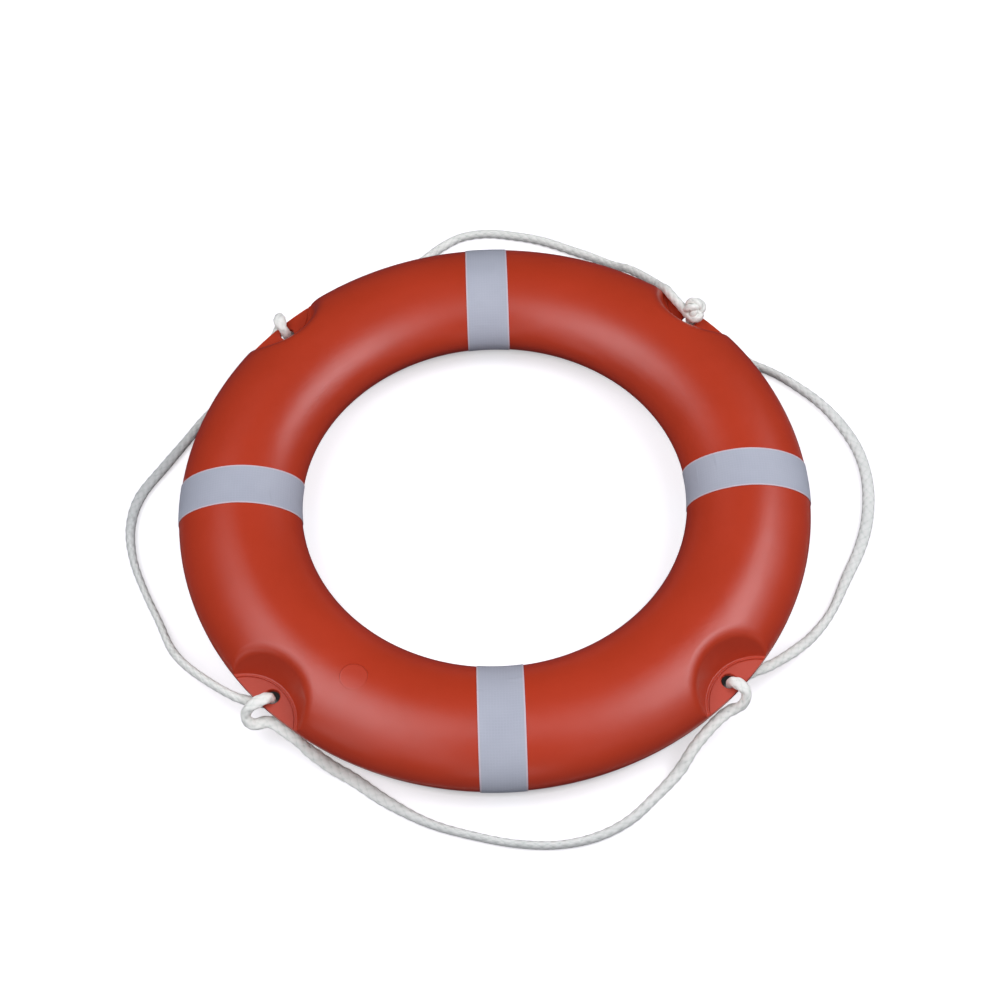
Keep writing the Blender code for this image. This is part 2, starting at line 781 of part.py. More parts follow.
# The double overhand knot: its strands are pressed into one lump, with the two ends let in
bm = bmesh.new()
placing = Matrix.Rotation(KNOT_TILT[2], 3, "Z") @ Matrix.Rotation(KNOT_TILT[1], 3, "Y")
placing = placing @ Matrix.Rotation(KNOT_TILT[0], 3, "X")
knot_centre = lug_point(BACK_RIGHT, *KNOT_CENTRE)
strand_reach = KNOT_RADIUS - KNOT_STRAND_RADIUS
turning = [knot_centre + placing @ p * strand_reach for p in knot_path()]
tube_into(bm, turning, KNOT_STRAND_RADIUS, 12)
core_size = Matrix.Translation(knot_centre) @ placing.to_4x4()
core_size = core_size @ Matrix.Diagonal((0.55, 0.55, 0.32, 1.0))
bmesh.ops.create_uvsphere(bm, u_segments=16, v_segments=10, radius=KNOT_RADIUS, matrix=core_size)
knot = add("grab_line_knot_back_right", finish_mesh(bm, "knot"), ROPE)
remesh = knot.modifiers.new("pressed_strands", "REMESH")
remesh.mode = "VOXEL"
remesh.voxel_size = KNOT_GRAIN
remesh.use_smooth_shade = True

for name, cut, end, count in (
    ("knot_departure", knot_leaves, 0.0, 12),
    ("knot_arrival", knot_meets, line_sums[-1], 24),
):
    inside = tube_mesh(name, knot_end(cut, end, count), ROPE_RADIUS, ROPE_SIDES)
    combine(knot, add_cutter(name, inside), "UNION")


def least_gap(dense, sums, apart):
    """Least distance between the rope's surface and itself, off its own neighbourhood.

    The knot's own stretches are left out, because the knot is one lump."""
    least = math.inf
    for i in range(0, len(dense), 4):
        if not knot_leaves < sums[i] < knot_meets:
            continue
        for j in range(i + 1, len(dense), 2):
            if sums[j] - sums[i] > apart:
                least = min(least, (dense[j] - dense[i]).length)
    return least - 2 * ROPE_RADIUS


print(f"least gap of the line to itself: {1000 * least_gap(line, line_sums, 0.032):.2f} mm")
print(f"line without the knot's turns: {1000 * line_sums[-1]:.0f} mm")
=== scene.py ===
import math

import bmesh
import bpy
import numpy as np
from mathutils import Matrix, Vector


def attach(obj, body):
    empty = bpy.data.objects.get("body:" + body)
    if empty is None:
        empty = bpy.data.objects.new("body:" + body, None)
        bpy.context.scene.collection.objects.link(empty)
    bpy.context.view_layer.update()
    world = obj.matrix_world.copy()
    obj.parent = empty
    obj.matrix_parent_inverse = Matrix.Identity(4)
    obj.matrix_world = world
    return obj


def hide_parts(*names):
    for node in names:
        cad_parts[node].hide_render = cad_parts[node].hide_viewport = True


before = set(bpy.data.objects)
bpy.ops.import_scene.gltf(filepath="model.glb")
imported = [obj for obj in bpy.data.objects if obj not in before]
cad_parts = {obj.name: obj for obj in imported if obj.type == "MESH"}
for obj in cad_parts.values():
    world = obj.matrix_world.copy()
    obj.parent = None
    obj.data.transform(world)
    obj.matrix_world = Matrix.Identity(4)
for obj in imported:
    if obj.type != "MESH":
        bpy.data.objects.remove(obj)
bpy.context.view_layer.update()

MM = 0.001

# The ring, as in the model: metres unless a name says otherwise
OUTER_RADIUS = 0.360
HOLE_RADIUS = 0.220
SECTION_HEIGHT = 0.094
SECTION_POWER = 1.85
WALL = 0.003
BAND_WIDTH = 0.050
BAND_OUTSETS = (0.0008, 0.0003)
EDGE_STRIP = 0.0016
MID_Z = 0.0478
MIDDLE_RADIUS = (OUTER_RADIUS + HOLE_RADIUS) / 2
HALF_WIDTH = (OUTER_RADIUS - HOLE_RADIUS) / 2
HALF_HEIGHT = SECTION_HEIGHT / 2
POCKET_AXIS = 0.390
POCKET_RADIUS = 0.0592
POCKET_DRAFT = math.radians(22)
LINE_HOLE_AT = 0.346
LINE_HOLE_RADIUS = 0.0085
ABOVE_ALL = HALF_HEIGHT + 0.010
LUG_ANGLES = [math.radians(45 + 90 * k) for k in range(4)]
PLUG_ANGLE = math.radians(-122)
PLUG_RADIUS = 0.0148
SEAT_DEPTH = 0.0042
SEAT_ROOM = 0.00012

scene = bpy.context.scene


def colour(r, g, b):
    """An sRGB colour of 0 to 255 as linear values with alpha."""
    return tuple(((c / 255 + 0.055) / 1.055) ** 2.4 for c in (r, g, b)) + (1.0,)


# Camera: it looks down at the ring's centre from the front


ELEVATION = math.radians(57.43)
ROLL = math.radians(1.965)
DISTANCE = 2.0396
LENS = 64.13
SENSOR_WIDTH = 36
SHIFT = (0.0059, -0.0025)

across = Vector((1, 0, 0))
up = Vector((0, math.sin(ELEVATION), math.cos(ELEVATION)))
back = Vector((0, -math.cos(ELEVATION), math.sin(ELEVATION)))
turned_across = across * math.cos(ROLL) - up * math.sin(ROLL)
turned_up = across * math.sin(ROLL) + up * math.cos(ROLL)
centre = Vector((0, 0, MID_Z))
camera_data = bpy.data.cameras.new("camera")
camera_data.lens = LENS
camera_data.sensor_width = SENSOR_WIDTH
camera_data.sensor_fit = "HORIZONTAL"
camera_data.shift_x, camera_data.shift_y = SHIFT
camera = bpy.data.objects.new("camera", camera_data)
camera.matrix_world = Matrix.Translation(centre + back * DISTANCE) @ Matrix(
    (turned_across, turned_up, back)
).transposed().to_4x4()
scene.collection.objects.link(camera)
scene.camera = camera


def link(name, mesh, material=None):
    """A new object in the scene, with its material if it has one."""
    made = bpy.data.objects.new(name, mesh)
    scene.collection.objects.link(made)
    if material is not None:
        mesh.materials.append(material)
    return made


# Shader nodes


def new_material(name):
    made = bpy.data.materials.new(name)
    made.use_nodes = True
    tree = made.node_tree
    return made, tree, tree.nodes["Principled BSDF"]


def feed(tree, socket, value):
    """A constant on a socket, or a link to it from another one."""
    if isinstance(value, (int, float, tuple)):
        socket.default_value = value
    else:
        tree.links.new(value, socket)


def place(tree, name="Object"):
    return tree.nodes.new("ShaderNodeTexCoord").outputs[name]


def noise(tree, vector, scale, detail=3.0, roughness=0.5):
    node = tree.nodes.new("ShaderNodeTexNoise")
    node.inputs["Scale"].default_value = scale
    node.inputs["Detail"].default_value = detail
    node.inputs["Roughness"].default_value = roughness
    tree.links.new(vector, node.inputs["Vector"])
    return node.outputs["Fac"]


def stretched(tree, vector, scale):
    node = tree.nodes.new("ShaderNodeMapping")
    node.inputs["Scale"].default_value = scale
    tree.links.new(vector, node.inputs["Vector"])
    return node.outputs[0]


def attribute(tree, name):
    node = tree.nodes.new("ShaderNodeAttribute")
    node.attribute_name = name
    return node.outputs["Fac"]


def ramp(tree, value, stops):
    node = tree.nodes.new("ShaderNodeValToRGB")
    elements = node.color_ramp.elements
    while len(elements) < len(stops):
        elements.new(0.5)
    for element, (position, shade) in zip(elements, stops):
        element.position = position
        element.color = shade
    tree.links.new(value, node.inputs["Fac"])
    return node.outputs["Color"]


def mixed(tree, factor, a, b, blend="MIX"):
    node = tree.nodes.new("ShaderNodeMix")
    node.data_type = "RGBA"
    node.blend_type = blend
    for name, value in (("Factor", factor), ("A", a), ("B", b)):
        feed(tree, node.inputs[name], value)
    return node.outputs["Result"]


def math_node(tree, operation, a, b=0.0, c=0.0):
    node = tree.nodes.new("ShaderNodeMath")
    node.operation = operation
    for socket, value in zip(node.inputs, (a, b, c)):
        feed(tree, socket, value)
    return node.outputs[0]


def bump(tree, shader, height, strength, distance, normal=None):
    node = tree.nodes.new("ShaderNodeBump")
    node.inputs["Strength"].default_value = strength
    node.inputs["Distance"].default_value = distance
    tree.links.new(height, node.inputs["Height"])
    if normal is not None:
        tree.links.new(normal, node.inputs["Normal"])
    tree.links.new(node.outputs["Normal"], shader.inputs["Normal"])
    return node.outputs["Normal"]


# Light: softboxes as banks of panels, each with its azimuth and elevation in degrees and its watts


WHITE = (1, 1, 1, 1)
BLACK = (0, 0, 0, 1)

RIGHT_PANELS = (
    (0, 48, 8.9),
    (24, 48, 7.6),
    (336, 48, 6.9),
    (345, 62, 5.0),
    (15, 62, 3.4),
    (348, 32, 2.5),
    (324, 32, 1.6),
    (312, 48, 1.6),
    (315, 62, 2.1),
    (12, 32, 1.6),
    (36, 32, 1.2),
    (315, 14, 0.6),
)
LEFT_PANELS = (
    (195, 62, 5.8),
    (165, 62, 5.2),
    (192, 48, 5.1),
    (225, 62, 4.5),
    (216, 48, 4.0),
    (180, 76, 2.8),
    (240, 48, 2.6),
    (204, 32, 2.4),
    (228, 32, 2.1),
    (225, 14, 2.0),
    (240, 76, 2.0),
    (168, 48, 1.9),
    (252, 32, 1.5),
    (135, 62, 1.3),
    (144, 48, 1.1),
)
# Low in front, and high up
OTHER_PANELS = ((270, 14, 2.5), (300, 32, 0.8), (300, 76, 0.8), (0, 76, 0.9))
PANEL_DISTANCE = 2.6
PANEL_SIZE = 0.7
PANEL_TINT = (1.0, 0.98, 1.06)
AMBIENT_TINT = (0.93, 0.95, 1.0, 1)
AMBIENT = 0.05

for k, (azimuth, elevation, watts) in enumerate(RIGHT_PANELS + LEFT_PANELS + OTHER_PANELS):
    a, e = math.radians(azimuth), math.radians(elevation)
    away = Vector((math.cos(a) * math.cos(e), math.sin(a) * math.cos(e), math.sin(e)))
    panel = bpy.data.lights.new(f"panel_{k}", "AREA")
    panel.size = PANEL_SIZE
    panel.energy = watts
    panel.color = PANEL_TINT
    lamp = bpy.data.objects.new(f"panel_{k}", panel)
    lamp.location = centre + away * PANEL_DISTANCE
    lamp.rotation_euler = away.to_track_quat("Z", "Y").to_euler()
    scene.collection.objects.link(lamp)

# The world: white to the camera, a weak ambient light to the rest
world = bpy.data.worlds.new("world")
scene.world = world
world.use_nodes = True
tree = world.node_tree
tree.nodes.clear()
seen = tree.nodes.new("ShaderNodeLightPath")
choose = tree.nodes.new("ShaderNodeMixShader")
tree.links.new(seen.outputs["Is Camera Ray"], choose.inputs[0])
for k, (shade, strength) in enumerate(((AMBIENT_TINT, AMBIENT), (WHITE, 1.0))):
    background = tree.nodes.new("ShaderNodeBackground")
    background.inputs["Color"].default_value = shade
    background.inputs["Strength"].default_value = strength
    tree.links.new(background.outputs[0], choose.inputs[k + 1])
out = tree.nodes.new("ShaderNodeOutputWorld")
tree.links.new(choose.outputs[0], out.inputs[0])

# Floor


FLOOR_REACH = 6.0
FLOOR_Z = -0.0004
TO_CAMERA = (0.82, 0.82, 0.83, 1)
TO_SURFACES = (0.24, 0.24, 0.26, 1)
TO_REFLECTIONS = (0.04, 0.035, 0.06, 1)
# Painted shadow: where the ring stands on it, the floor is painted dark: distance from the ring's
# axis, and colour
PAINTED_RING_SHADOW = (
    (0.243, WHITE),
    (0.262, (0.03, 0.025, 0.025, 1)),
    (0.334, (0.03, 0.03, 0.03, 1)),
    (0.347, WHITE),
)
# The glow that only the camera sees grows to full where the panels' light ends
GLOW = {"From Min": 0.9, "From Max": 1.8, "To Min": 0.52, "To Max": 1.0}

corners = [(x * FLOOR_REACH, y * FLOOR_REACH, 0) for x, y in ((-1, -1), (1, -1), (1, 1), (-1, 1))]
floor_mesh = bpy.data.meshes.new("floor")
floor_mesh.from_pydata(corners, [], [(0, 1, 2, 3)])
floor_look, tree, shader = new_material("floor")
shader.inputs["Roughness"].default_value = 0.9
shader.inputs["Specular IOR Level"].default_value = 0.1
seen = tree.nodes.new("ShaderNodeLightPath")
tint = mixed(tree, seen.outputs["Is Camera Ray"], TO_SURFACES, TO_CAMERA)
tint = mixed(tree, seen.outputs["Is Glossy Ray"], tint, TO_REFLECTIONS)
length = tree.nodes.new("ShaderNodeVectorMath")
length.operation = "LENGTH"
tree.links.new(place(tree), length.inputs[0])
# Painted shadow: the floor's colour and its glow are darkened round the ring's foot
under = ramp(tree, length.outputs["Value"], PAINTED_RING_SHADOW)
feed(tree, shader.inputs["Base Color"], mixed(tree, 1.0, tint, under, "MULTIPLY"))
far = tree.nodes.new("ShaderNodeMapRange")
for name, value in GLOW.items():
    far.inputs[name].default_value = value
tree.links.new(length.outputs["Value"], far.inputs["Value"])
strength = math_node(tree, "MULTIPLY", seen.outputs["Is Camera Ray"], far.outputs["Result"])
glow = tree.nodes.new("ShaderNodeEmission")
tree.links.new(under, glow.inputs["Color"])
tree.links.new(strength, glow.inputs["Strength"])
both = tree.nodes.new("ShaderNodeAddShader")
tree.links.new(shader.outputs[0], both.inputs[0])
tree.links.new(glow.outputs[0], both.inputs[1])
tree.links.new(both.outputs[0], tree.nodes["Material Output"].inputs["Surface"])
floor = link("floor", floor_mesh, floor_look)
floor.location.z = FLOOR_Z


# Route of the grab line, the same points as in the model


LOOP_RIGHT = (
    (38.0, 9, 0.75),
    (35.3, 15, 0.38),
    (32.6, 24, 0.08),
    (28.6, 38.5, 0),
    (23.8, 53.5, 0),
    (19.1, 66.5, 0),
    (14.1, 76, 0),
    (9.1, 81, 0),
    (3.5, 79.5, 0),
    (-2.9, 71.5, 0),
    (-8.3, 61, 0),
    (-13.9, 48.5, 0),
    (-20.7, 39.5, 0.03),
    (-25.9, 29.5, 0.2),
    (-30.9, 19.5, 0.52),
    (-35.2, 8.5, 0.75),
)
LOOP_FRONT = (
    (-56.5, 9.5, 0.68),
    (-60.0, 17.5, 0.32),
    (-65.6, 29, 0.05),
    (-71.0, 42.5, 0),
    (-76.5, 49.5, 0),
    (-82.0, 49.5, 0),
    (-88.0, 43.5, 0),
    (-94.0, 35, 0),
    (-102.1, 25, 0),
    (-109.5, 12, 0),
    (-117.1, 0.5, 0.07),
    (-121.2, 0.5, 0.3),
    (-125.0, 1, 0.58),
)
LOOP_LEFT = (
    (-150.5, 32, 0.62),
    (-155.5, 39, 0.34),
    (-162.0, 42, 0.08),
    (-168.0, 50, 0),
    (-174.4, 60, 0),
    (179.5, 64.5, 0),
    (174.0, 59.5, 0),
    (167.1, 39.5, 0),
    (160.7, 25.5, 0),
    (156.7, 20, 0),
    (152.3, 13, 0.1),
    (147.5, 9, 0.4),
)
LOOP_BACK = (
    (121.0, 9, 0.55),
    (117.0, 12, 0.22),
    (112.0, 16, 0.02),
    (107.0, 23, 0),
    (103.0, 33, 0),
    (100.2, 45, 0),
    (97.3, 58, 0),
    (94.1, 68.5, 0),
    (89.5, 72, 0),
    (84.5, 67.5, 0),
    (79.9, 62.5, 0),
    (74.2, 53.5, 0),
    (68.2, 46.5, 0.12),
    (61.7, 34, 0.6),
)
HITCH_FRONT_RIGHT = (
    (14, 47, -15),
    (9, 36, -13.5),
    (4.5, 22, -12.5),
    (2.5, 8, -11),
    (2.4, 1, -5),
    (2.5, 0, 0),
    (2.6, 0, 3.2),
    (4.1, 0.2, 7.4),
    (8.7, 0.5, 9.6),
    (14.5, 1.4, 10),
    (20.3, 1.4, 8.2),
    (24.7, -1, 3),
    (26.2, -5, -3),
    (25.3, -10, -8.5),
    (21.8, -14, -12.5),
    (18, -20, -15),
    (16, -31, -17),
    (15.3, -44, -18),
)
HITCH_FRONT_LEFT = (
    (11.5, 45, -15.5),
    (14, 30, -13.5),
    (16.5, 16, -13),
    (21.5, 8.5, -14),
    (28.5, 5, -14.5),
    (34.2, 0.5, -11),
    (34.2, -6, -6),
    (30.8, -8, 0),
    (26, -7, 5.8),
    (20.5, -5, 9),
    (14.5, -3, 9.9),
    (8.6, -1, 9.5),
    (4.1, 0, 7.4),
    (2.6, 0, 3.2),
    (2.5, 0, -1),
    (3.2, -1.5, -5.5),
    (5.5, -5, -10),
    (11, -13, -12),
    (19, -26, -12.5),
    (24, -40, -14.5),
)
HITCH_BACK_LEFT = (
    (20, 46, -20.5),
    (17.5, 32, -19),
    (17, 17, -18.5),
    (20, 3, -16),
    (24, -7, -11),
    (25.8, -11, -3),
    (23.8, -9.5, 6),
    (19.7, -6, 12),
    (14.5, -2.5, 13.5),
    (9.3, 0.5, 11.2),
    (4.8, 0.8, 8),
    (2.8, 0.3, 4),
    (2.5, 0, -1),
    (3, -2, -6),
    (6, -9, -11),
    (12, -22, -13),
    (17, -38, -15.5),
)
KNOT_ARRIVAL = (
    (26, 74, -12),
    (19.5, 62.5, -2),
    (15.5, 50, 6.5),
    (10.5, 38.5, 10),
    (7.8, 29.5, 10.6),
    (5, 18, 11),
    (1.2, 7.5, 12),
    (-1.5, -1, 13),
    (-1.8, -7, 13.7),
    (1.5, -11.5, 14.5),
    (7.5, -10, 16),
)
KNOT_DEPARTURE = (
    (3, 0, 8),
    (2.5, 0, 3),
    (2.5, 0, -2),
    (3.2, -1.5, -6.5),
    (6.5, -8, -11.5),
    (11, -16, -13.5),
    (15, -26, -16),
)
KNOT_CENTRE = (8.5, -0.5, 18)
KNOT_TILT = (math.radians(58), math.radians(-12), math.radians(35))
ROPE_RADIUS = 0.0055
GROUND_GAP = 0.0002
KNOT_RADIUS = 0.0142
KNOT_HEIGHT = 0.68
KNOT_STRAND_RADIUS = 0.0045
# The knot's line winds twice round its axis while it goes out and in five times
KNOT_WINDINGS, KNOT_LOBES = 2, 5
KNOT_MEAN, KNOT_WAVE = 0.56, 0.44


def lug_point(lug, out, side, height):
    """A point near a lug, in millimetres outwards, sideways and up from its line hole."""
    angle = LUG_ANGLES[lug]
    u = LINE_HOLE_AT + out * MM
    v = side * MM
    x = u * math.cos(angle) - v * math.sin(angle)
    y = u * math.sin(angle) + v * math.cos(angle)
    return Vector((x, y, MID_Z + height * MM))


def loop_point(degrees, out, rise):
    """A point of a free loop: its angle, millimetres beyond the ring, and share of the rise."""
    angle = math.radians(degrees)
    radius = OUTER_RADIUS + out * MM
    low = ROPE_RADIUS + GROUND_GAP
    high = MID_Z - WALL - 2 * ROPE_RADIUS
    return Vector((radius * math.cos(angle), radius * math.sin(angle), low + rise * (high - low)))


def smooth_curve(points, parts):
    """A centripetal Catmull-Rom curve through all the points, finely divided."""
    padded = [points[0] * 2 - points[1], *points, points[-1] * 2 - points[-2]]
    dense = []
    for p0, p1, p2, p3 in zip(padded, padded[1:], padded[2:], padded[3:]):
        t1 = math.sqrt((p1 - p0).length)
        t2 = t1 + math.sqrt((p2 - p1).length)
        t3 = t2 + math.sqrt((p3 - p2).length)
        for k in range(parts):
            t = t1 + (t2 - t1) * k / parts
            a1 = p0.lerp(p1, t / t1)
            a2 = p1.lerp(p2, (t - t1) / (t2 - t1))
            a3 = p2.lerp(p3, (t - t2) / (t3 - t2))
            b1 = a1.lerp(a2, t / t2)
            b2 = a2.lerp(a3, (t - t1) / (t3 - t1))
            dense.append(b1.lerp(b2, (t - t1) / (t2 - t1)))
    dense.append(points[-1].copy())
    return dense


def evenly(points, step, values):
    """Points at even steps along a line, their lengths along it, and the values there."""
    line = np.array([tuple(p) for p in points])
    sums = np.concatenate([[0], np.cumsum(np.linalg.norm(np.diff(line, axis=0), axis=1))])
    count = max(2, round(sums[-1] / step) + 1)
    lengths = np.linspace(0, sums[-1], count)
    even = np.column_stack([np.interp(lengths, sums, line[:, k]) for k in range(3)])
    return even, lengths, np.interp(lengths, sums, values)


def eased(line, times):
    """A line with its sharpest bends eased and its ends kept."""
    for _ in range(times):
        line[1:-1] += 0.5 * ((line[:-2] + line[2:]) / 2 - line[1:-1])
    return line


def carried_frames(line, closed=False):
    """Directions and untwisted side vectors along a line."""
    if closed:
        ahead = np.roll(line, -1, axis=0) - np.roll(line, 1, axis=0)
    else:
        ahead = np.gradient(line, axis=0)
    ahead /= np.linalg.norm(ahead, axis=1)[:, None]
    sides = np.empty_like(line)
    first = np.cross(ahead[0], (0, 0, 1.0))
    side = first / np.linalg.norm(first)
    for k, direction in enumerate(ahead):
        side = side - direction * side.dot(direction)
        side /= np.linalg.norm(side)
        sides[k] = side
    if closed:
        side = side - ahead[0] * side.dot(ahead[0])
        side /= np.linalg.norm(side)
        miss = math.atan2(np.cross(sides[0], side).dot(ahead[0]), sides[0].dot(side))
        turn = -miss * np.arange(len(line))[:, None] / len(line)
        sides = sides * np.cos(turn) + np.cross(ahead, sides) * np.sin(turn)
    return ahead, sides


BRAID_STRANDS = 4
BRAID_PITCH = 0.048
BRAID_RELIEF = 0.0010
# A strand's profile: how narrow it is, its mean height and its wave over and under the others
STRAND_NARROW = 1.9
STRAND_MEAN, STRAND_WAVE = 0.62, 0.38
# The height of the strands that lies at the rope's own radius
STRAND_LEVEL = 0.75
ROPE_SIDES = 36
ROPE_SWELL = 0.05
# The rope spreads where it runs level, and gets thinner or thicker within these limits
LEVEL_FROM, LEVEL_OVER = 0.75, 0.2
THINNEST, THICKEST = 0.8, 1.12
# It rests on the ground where it is less than this above it
RESTING_HEIGHT = 0.012
NEVER_ZERO = 1e-6


def braid(turn, along):
    """Height from 0 to 1 of a braid's strands, crossing over and under each other."""
    a = BRAID_STRANDS * (turn / math.tau + along / BRAID_PITCH)
    b = BRAID_STRANDS * (turn / math.tau - along / BRAID_PITCH)
    ia, ib = np.round(a), np.round(b)
    over = np.mod(ia + ib, 2) < 0.5
    fa, fb = a - ia, b - ib
    first, other = np.where(over, fa, fb), np.where(over, fb, fa)
    across_strand = np.sqrt(np.clip(1 - (STRAND_NARROW * first) ** 2, 0, 1))
    return across_strand * (STRAND_MEAN + STRAND_WAVE * np.cos(math.pi * other))


def flattened(line, ahead, offsets, breadth):
    """A rope's surface, spread sideways to its breadth and thinned where it lies flat."""
    across_rope = np.cross(ahead, (0, 0, 1.0))
    level = np.linalg.norm(across_rope, axis=1)
    across_rope /= np.maximum(level, NEVER_ZERO)[:, None]
    upright = np.cross(across_rope, ahead)
    lying = np.clip((level - LEVEL_FROM) / LEVEL_OVER, 0, 1)
    wide = 1 + (breadth / (2 * ROPE_RADIUS) - 1) * lying
    thin = np.clip(1 / wide, THINNEST, THICKEST)
    for direction, size in ((across_rope, wide), (upright, thin)):
        share = np.einsum("rsk,rk->rs", offsets, direction) * (size - 1)[:, None]
        offsets = offsets + share[:, :, None] * direction[:, None, :]
    points = line[:, None, :] + offsets
    # The stretches on the ground rest on it however thin they are
    near = np.clip(1 - (line[:, 2] - ROPE_RADIUS - GROUND_GAP) / RESTING_HEIGHT, 0, 1)
    points[:, :, 2] -= ((points[:, :, 2].min(axis=1) - GROUND_GAP) * near)[:, None]
    return points


def rope_mesh(
    name, line, lengths, radius, closed=False, swell=ROPE_SWELL, breadth=None, painted_shade=None
):
    """A braided rope along a line, its strands raised from a round core."""
    ahead, side = carried_frames(line, closed)
    other = np.cross(ahead, side)
    sides = ROPE_SIDES
    turn = np.arange(sides) * math.tau / sides
    turns, along = np.meshgrid(turn, lengths)
    if closed:
        whole = lengths[-1] + np.linalg.norm(line[0] - line[-1])
        crossings = BRAID_STRANDS * whole / BRAID_PITCH
        along = along * round(crossings) / crossings
    lay = braid(turns, along)
    relief = BRAID_RELIEF * radius / ROPE_RADIUS
    # The thickness wanders slowly along the rope and round it
    slow = np.sin(along / 0.031 + 1.3)
    slow += 0.7 * np.sin(along / 0.0117) * np.cos(turns * 2 + along / 0.05)
    size = radius + relief * (lay - STRAND_LEVEL) + radius * swell * slow * 0.5
    offsets = (
        side[:, None, :] * (np.cos(turns) * size)[:, :, None]
        + other[:, None, :] * (np.sin(turns) * size)[:, :, None]
    )
    if breadth is None:
        points = line[:, None, :] + offsets
    else:
        points = flattened(line, ahead, offsets, breadth)
    points = points.reshape(-1, 3)
    rings = len(line)
    k = np.arange(sides)
    quads = []
    for r in range(rings if closed else rings - 1):
        a, b = r * sides, (r + 1) % rings * sides
        quads.append(np.column_stack([a + k, a + (k + 1) % sides, b + (k + 1) % sides, b + k]))
    faces = np.concatenate(quads).tolist()
    if not closed:
        faces.append(list(range(sides))[::-1])
        faces.append(list(range((rings - 1) * sides, rings * sides)))
    mesh = bpy.data.meshes.new(name)
    mesh.from_pydata(points.tolist(), [], faces)
    strands = mesh.attributes.new("lay", "FLOAT", "POINT")
    strands.data.foreach_set("value", lay.ravel().astype(np.float32))
    # Painted shade on the rope, from 0 to 1 at each of its points
    shade_layer = mesh.attributes.new("painted_shade", "FLOAT", "POINT")
    if painted_shade is not None:
        shade_layer.data.foreach_set("value", np.repeat(painted_shade, sides).astype(np.float32))
    uv = mesh.uv_layers.new(name="along_rope")
    corner_verts = np.empty(len(mesh.loops), np.int32)
    mesh.loops.foreach_get("vertex_index", corner_verts)
    u = (corner_verts % sides) / sides
    v = lengths[np.minimum(corner_verts // sides, rings - 1)] / (math.tau * radius)
    uv.data.foreach_set("uv", np.column_stack([u, v]).ravel())
    mesh.shade_smooth()
    return mesh


# Materials


def moulded_plastic(name, low, high, roughness=0.26):
    """Moulded polythene: uneven colour, a fine grain, faint flow streaks and rubbed spots."""
    made, tree, shader = new_material(name)
    here = place(tree)
    slow = noise(tree, here, 9.0, 4.0, 0.55)
    shade = ramp(tree, slow, ((0.3, low), (0.7, high)))
    tree.links.new(shade, shader.inputs["Base Color"])
    streaks = noise(tree, here, 46.0, 5.0, 0.62)
    uneven = math_node(tree, "MULTIPLY_ADD", streaks, 0.10, roughness)
    tree.links.new(uneven, shader.inputs["Roughness"])
    grain = noise(tree, here, 900.0, 2.0, 0.5)
    first = bump(tree, shader, grain, 0.18, 0.0004)
    bump(tree, shader, noise(tree, here, 24.0, 3.0, 0.5), 0.10, 0.004, first)
    shader.inputs["Specular IOR Level"].default_value = 0.5
    return made


ORANGE = moulded_plastic("orange_polyethylene", colour(175, 54, 27), colour(183, 58, 32))
# Painted sheen: the front flanges' paler, pinker colour; their rougher finish is their own
ORANGE_FLANGE_PAINTED_SHEEN = moulded_plastic(
    "orange_flange_painted_sheen", colour(177, 67, 47), colour(185, 71, 53), roughness=0.36
)
ORANGE_PLUG = moulded_plastic("orange_plug", colour(179, 60, 38), colour(187, 65, 44))


def foam_material():
    """Cream foam of small closed cells."""
    made, tree, shader = new_material("cream_foam")
    here = place(tree)
    cells = tree.nodes.new("ShaderNodeTexVoronoi")
    cells.inputs["Scale"].default_value = 700.0
    tree.links.new(here, cells.inputs["Vector"])
    shade = ramp(
        tree,
        cells.outputs["Distance"],
        ((0.1, colour(214, 190, 140)), (0.7, colour(238, 222, 180))),
    )
    tree.links.new(shade, shader.inputs["Base Color"])
    shader.inputs["Roughness"].default_value = 0.9
    bump(tree, shader, cells.outputs["Distance"], 0.5, 0.0005)
    return made


def tape_material():
    """Silver retro-reflective tape: a fine honeycomb in a clear film, a plain edge strip."""
    made, tree, shader = new_material("silver_reflective_tape")
    uv = place(tree, "UV")
    split = tree.nodes.new("ShaderNodeSeparateXYZ")
    tree.links.new(uv, split.inputs[0])
    cells = tree.nodes.new("ShaderNodeTexVoronoi")
    cells.feature = "DISTANCE_TO_EDGE"
    cells.inputs["Scale"].default_value = 320.0
    cells.inputs["Randomness"].default_value = 0.0
    tree.links.new(uv, cells.inputs["Vector"])
    here = place(tree)
    patches = noise(tree, here, 14.0, 4.0, 0.6)
    base = ramp(tree, patches, ((0.3, colour(167, 173, 183)), (0.7, colour(175, 181, 190))))
    lines = ramp(tree, cells.outputs["Distance"], ((0.0, WHITE), (0.12, BLACK)))
    lined = mixed(tree, math_node(tree, "MULTIPLY", lines, 0.16), base, colour(205, 208, 218))
    # The strips along both edges are plain and paler
    from_middle = math_node(tree, "ABSOLUTE", split.outputs["X"])
    edge = math_node(tree, "GREATER_THAN", from_middle, BAND_WIDTH / 2 - EDGE_STRIP)
    edged = mixed(tree, math_node(tree, "MULTIPLY", edge, 0.85), lined, colour(205, 191, 196))
    tree.links.new(edged, shader.inputs["Base Color"])
    tree.links.new(math_node(tree, "MULTIPLY_ADD", patches, 0.16, 0.5), shader.inputs["Roughness"])
    shader.inputs["Specular IOR Level"].default_value = 0.16
    first = bump(tree, shader, cells.outputs["Distance"], 0.15, 0.0002)
    # Small creases, mostly across the tape
    folds = noise(tree, stretched(tree, uv, (16.0, 60.0, 1.0)), 1.0, 2.0, 0.5)
    sharp = ramp(tree, folds, ((0.0, BLACK), (0.62, BLACK), (0.8, WHITE)))
    bump(tree, shader, sharp, 0.5, 0.0012, first)
    return made


